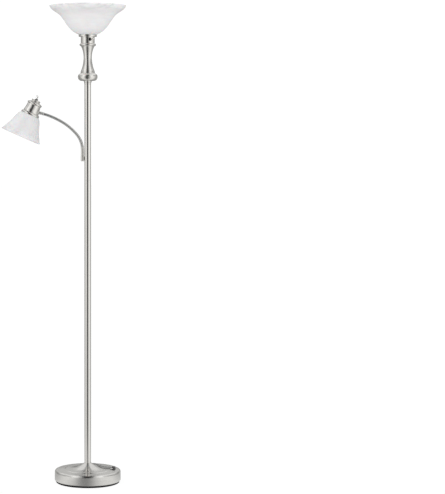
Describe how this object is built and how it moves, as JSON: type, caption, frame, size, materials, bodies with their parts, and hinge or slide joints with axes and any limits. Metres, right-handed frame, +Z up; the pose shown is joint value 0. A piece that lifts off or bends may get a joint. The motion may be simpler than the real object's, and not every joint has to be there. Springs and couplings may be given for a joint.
{
  "type": "torchiere floor lamp with reading light",
  "caption": "Floor lamp: round weighted base, straight pole, turned column, upward glass bowl shade, and a reading light with a glass bell shade on a flexible side arm.",
  "frame": {"origin": "centre of the base's flat underside, on the pole's axis", "axes": "+Z up along the pole; the reading light's arm leaves the pole towards -X; the front of the lamp faces -Y"},
  "size_m": [0.4669, 0.3929, 1.801],
  "materials": {
    "brushed_nickel": "satin, spun or lengthwise brushed nickel plate",
    "inner_steel": "zinc-plated steel fittings",
    "weight_cement": "cast cement filling",
    "black_plastic": "moulded, matte",
    "socket_black": "phenolic, satin",
    "screw_shell_metal": "plain",
    "contact_brass": "plain",
    "frosted_glass": "alabaster-look frosted glass",
    "clear_knob": "clear, glossy",
    "cord_jacket": "silver-grey vinyl, satin",
    "bush_rubber": "moulded, matte"
  },
  "bodies": {
    "stand": {"arm_nut": "inner_steel", "arm_saddle": "brushed_nickel", "arm_stud": "inner_steel", "ball_knop": "brushed_nickel", "base_cover": "brushed_nickel", "base_hex_nut": "inner_steel", "base_plate": "black_plastic", "base_threaded_pipe": "inner_steel", "base_weight": "weight_cement", "cord_bushing": "bush_rubber", "cord_coil": "cord_jacket", "gooseneck_0": "brushed_nickel", "lower_ferrule": "brushed_nickel", "neck_collar": "brushed_nickel", "plug_blades": "contact_brass", "plug_body": "cord_jacket", "pole_coupler_1": "inner_steel", "pole_coupler_2": "inner_steel", "pole_coupler_3": "inner_steel", "pole_foot_bush": "inner_steel", "pole_lead": "cord_jacket", "pole_section_1": "brushed_nickel", "pole_section_2": "brushed_nickel", "pole_section_3": "brushed_nickel", "pole_section_4": "brushed_nickel", "pole_top_bush": "inner_steel", "power_cord": "cord_jacket", "shade_gallery": "brushed_nickel", "socket_cover": "brushed_nickel", "trim_ring": "brushed_nickel", "upper_centre_contact": "contact_brass", "upper_glass_shade": "frosted_glass", "upper_lock_nut": "inner_steel", "upper_screw_shell": "screw_shell_metal", "upper_shade_ring": "socket_black", "upper_shade_washer": "black_plastic", "upper_socket_body": "socket_black", "upper_switch_body": "black_plastic", "upper_threaded_pipe": "inner_steel", "waist_column": "brushed_nickel"},
    "arm_1": {"gooseneck_1": "brushed_nickel"},
    "arm_2": {"gooseneck_2": "brushed_nickel"},
    "arm_3": {"gooseneck_3": "brushed_nickel"},
    "arm_4": {"gooseneck_4": "brushed_nickel"},
    "arm_5": {"gooseneck_5": "brushed_nickel"},
    "arm_6": {"gooseneck_6": "brushed_nickel"},
    "reading_head": {"reading_cap": "brushed_nickel", "reading_centre_contact": "contact_brass", "reading_cup": "brushed_nickel", "reading_glass_shade": "frosted_glass", "reading_screw_shell": "screw_shell_metal", "reading_shade_gallery": "brushed_nickel", "reading_shade_ring": "socket_black", "reading_socket_body": "socket_black", "reading_switch_bush": "black_plastic", "upper_ferrule": "brushed_nickel", "gooseneck_7": "brushed_nickel"},
    "reading_switch_turn": {"reading_knob": "clear_knob", "reading_switch_shaft": "inner_steel"},
    "upper_switch_turn": {"upper_switch_key": "brushed_nickel"}
  },
  "joints": [
    {"name": "arm_bend_1", "type": "hinge", "parent": "stand", "child": "arm_1", "pos_m": [-0.0199, 0, 1.25663], "axis": [0, 1, 0], "range_deg": [-15, 0]},
    {"name": "arm_sway_1", "type": "hinge", "parent": "arm_1", "child": "arm_2", "pos_m": [-0.02429, 0, 1.28946], "axis": [0.9521, 0, 0.3058], "range_deg": [-25, 25]},
    {"name": "arm_bend_2", "type": "hinge", "parent": "arm_2", "child": "arm_3", "pos_m": [-0.04012, 0, 1.31849], "axis": [0, 1, 0], "range_deg": [-12, 18]},
    {"name": "arm_sway_2", "type": "hinge", "parent": "arm_3", "child": "arm_4", "pos_m": [-0.06321, 0, 1.34239], "axis": [0.663, 0, 0.7486], "range_deg": [-25, 25]},
    {"name": "arm_bend_3", "type": "hinge", "parent": "arm_4", "child": "arm_5", "pos_m": [-0.0897, 0, 1.36245], "axis": [0, 1, 0], "range_deg": [-12, 20]},
    {"name": "arm_sway_3", "type": "hinge", "parent": "arm_5", "child": "arm_6", "pos_m": [-0.11877, 0, 1.37857], "axis": [0.4409, 0, 0.8976], "range_deg": [-25, 25]},
    {"name": "arm_bend_4", "type": "hinge", "parent": "arm_6", "child": "reading_head", "pos_m": [-0.14942, 0, 1.39143], "axis": [0, 1, 0], "range_deg": [-15, 20]},
    {"name": "reading_knob_turn", "type": "hinge", "parent": "reading_head", "child": "reading_switch_turn", "pos_m": [-0.19093, 0, 1.45194], "axis": [0.4051, 0, 0.9143], "continuous": true},
    {"name": "upper_key_turn", "type": "hinge", "parent": "stand", "child": "upper_switch_turn", "pos_m": [0.01315, -0.02696, 1.674], "axis": [0.4384, -0.8988, 0], "continuous": true}
  ]
}
